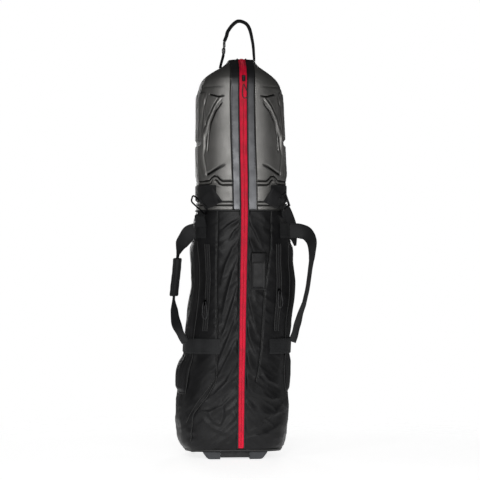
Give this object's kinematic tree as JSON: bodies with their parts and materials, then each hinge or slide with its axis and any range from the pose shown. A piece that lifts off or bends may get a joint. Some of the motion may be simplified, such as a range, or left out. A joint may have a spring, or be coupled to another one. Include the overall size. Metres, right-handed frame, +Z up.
{
  "type": "wheeled golf travel bag",
  "caption": "Upright wheeled sports travel bag with a moulded clamshell top, padded fabric body, full-length front zip, side pockets, carrying handles and a pull loop.",
  "frame": {"origin": "on the floor, under the middle of the whole standing object", "axes": "+Z up, -Y the face with the long zip, +X the viewer's right when looking at that face"},
  "size_m": [0.4708, 0.3439, 1.3979],
  "materials": {
    "shell_plastic": "moulded grey ABS with a fine hatch, satin",
    "black_plastic": "black moulding, satin",
    "base_plastic": "dark grey moulding, satin",
    "body_fabric": "black coated woven polyester over thin foam",
    "webbing": "black ribbed polypropylene webbing",
    "red_zip": "red woven zip tape over a coil",
    "foam": "foam faced with dark knit",
    "black_metal": "black plated die casting and wire",
    "steel": "plain steel",
    "tyre": "black polyurethane tread",
    "cord": "thin braided cord",
    "clear_window": "thin window film over black fabric",
    "red_bead": "red moulded bead"
  },
  "bodies": {
    "base": {"base_tray": "black_plastic", "front_foot_left": "base_plastic", "front_foot_right": "base_plastic", "wheel_housing_left": "base_plastic", "wheel_housing_right": "base_plastic", "wheel_axle_left": "steel", "wheel_axle_right": "steel", "boot_fabric": "body_fabric", "zip_tape_foot": "red_zip", "back_panel": "body_fabric", "shell_spine": "body_fabric", "skid_rail_left": "black_plastic", "skid_rail_right": "black_plastic"},
    "wheel_left": {"wheel_tyre_left": "tyre", "wheel_hub_left": "base_plastic", "wheel_bearing_left": "steel"},
    "wheel_right": {"wheel_tyre_right": "tyre", "wheel_hub_right": "base_plastic", "wheel_bearing_right": "steel"},
    "left_half": {"shell_left": "shell_plastic", "shell_liner_left": "foam", "zip_tape_left": "red_zip", "body_panel_left": "body_fabric", "pocket_left": "body_fabric", "pocket_zip_left": "black_plastic", "shell_strap_left": "webbing", "strap_fold_left": "webbing", "strap_ring_left": "black_metal", "strap_drop_left": "webbing", "handle_band_upper_left": "webbing", "handle_band_lower_left": "webbing"},
    "right_half": {"shell_right": "shell_plastic", "shell_liner_right": "foam", "zip_tape_right": "red_zip", "body_panel_right": "body_fabric", "pocket_right": "body_fabric", "pocket_zip_right": "black_plastic", "shell_strap_right": "webbing", "strap_fold_right": "webbing", "strap_buckle_right": "black_plastic", "handle_band_upper_right": "webbing", "handle_band_lower_right": "webbing", "id_pocket": "clear_window"},
    "strap_tail_right": {"strap_drop_right": "webbing"},
    "side_handle_left": {"handle_left": "webbing", "handle_grip_left": "foam"},
    "side_handle_right": {"handle_right": "webbing"},
    "zip_slider": {"main_slider": "black_metal"},
    "zip_pull": {"main_pull": "black_metal", "main_pull_bead": "red_bead", "main_pull_cord": "cord"},
    "pocket_slide_left": {"pocket_slider_left": "black_metal"},
    "pocket_pull_left": {"pocket_pull_cord_left": "cord"},
    "pocket_slide_right": {"pocket_slider_right": "black_metal"},
    "pocket_pull_right": {"pocket_pull_cord_right": "cord"},
    "loop_grip": {"top_loop_strap": "webbing", "top_loop_latch": "black_plastic"},
    "loop_tail": {"top_loop_tail": "webbing", "top_loop_socket": "black_plastic"}
  },
  "joints": [
    {"name": "wheel_left_spin", "type": "hinge", "parent": "base", "child": "wheel_left", "pos_m": [-0.143, 0.138, 0.035], "axis": [1, 0, 0], "continuous": true},
    {"name": "wheel_right_spin", "type": "hinge", "parent": "base", "child": "wheel_right", "pos_m": [0.093, 0.138, 0.035], "axis": [1, 0, 0], "continuous": true},
    {"name": "left_half_open", "type": "hinge", "parent": "base", "child": "left_half", "pos_m": [-0.0555, 0.14, 0.6], "axis": [0, 0, -1], "range_deg": [0, 70]},
    {"name": "right_half_open", "type": "hinge", "parent": "base", "child": "right_half", "pos_m": [0.0555, 0.14, 0.6], "axis": [0, 0, 1], "range_deg": [0, 70]},
    {"name": "handle_left_swing", "type": "hinge", "parent": "left_half", "child": "side_handle_left", "pos_m": [-0.18514, -0.09893, 0.357], "axis": [-0.0542, -0.0158, -0.9984], "range_deg": [-15, 36]},
    {"name": "handle_right_swing", "type": "hinge", "parent": "right_half", "child": "side_handle_right", "pos_m": [0.16054, -0.09148, 0.357], "axis": [0.0131, -0.0046, 0.9999], "range_deg": [-2, 24]},
    {"name": "strap_tail_lift", "type": "hinge", "parent": "right_half", "child": "strap_tail_right", "pos_m": [0.1402, -0.12128, 0.78918], "axis": [-0.5795, -0.6436, -0.5], "range_deg": [0, 3]},
    {"name": "main_zip_slide", "type": "slide", "parent": "base", "child": "zip_slider", "axis": [0, 0, -1], "range_m": [0, 1.12]},
    {"name": "main_pull_swing", "type": "hinge", "parent": "zip_slider", "child": "zip_pull", "pos_m": [0, -0.1676, 1.204], "axis": [-1, 0, 0], "range_deg": [0, 165]},
    {"name": "pocket_zip_left_slide", "type": "slide", "parent": "left_half", "child": "pocket_slide_left", "axis": [0.0058, 0.0023, 1], "range_m": [-0.004, 0.165]},
    {"name": "pocket_pull_left_swing", "type": "hinge", "parent": "pocket_slide_left", "child": "pocket_pull_left", "pos_m": [-0.12215, -0.14355, 0.497], "axis": [-0.7443, 0.6678, 0], "range_deg": [0, 150]},
    {"name": "pocket_zip_right_slide", "type": "slide", "parent": "right_half", "child": "pocket_slide_right", "axis": [-0.0053, 0.002, 1], "range_m": [-0.035, 0.13]},
    {"name": "pocket_pull_right_swing", "type": "hinge", "parent": "pocket_slide_right", "child": "pocket_pull_right", "pos_m": [0.11562, -0.14775, 0.532], "axis": [-0.7718, -0.6359, 0], "range_deg": [0, 150]},
    {"name": "top_loop_fold", "type": "hinge", "parent": "right_half", "child": "loop_grip", "pos_m": [0, -0.006, 1.276], "axis": [1, 0, 0], "range_deg": [-30, 30]},
    {"name": "top_loop_tail_fold", "type": "hinge", "parent": "left_half", "child": "loop_tail", "pos_m": [0, -0.006, 1.276], "axis": [1, 0, 0], "range_deg": [-30, 30]}
  ],
  "couplings": [
    {"joint": "top_loop_tail_fold", "follows": "top_loop_fold", "ratio": 1}
  ]
}
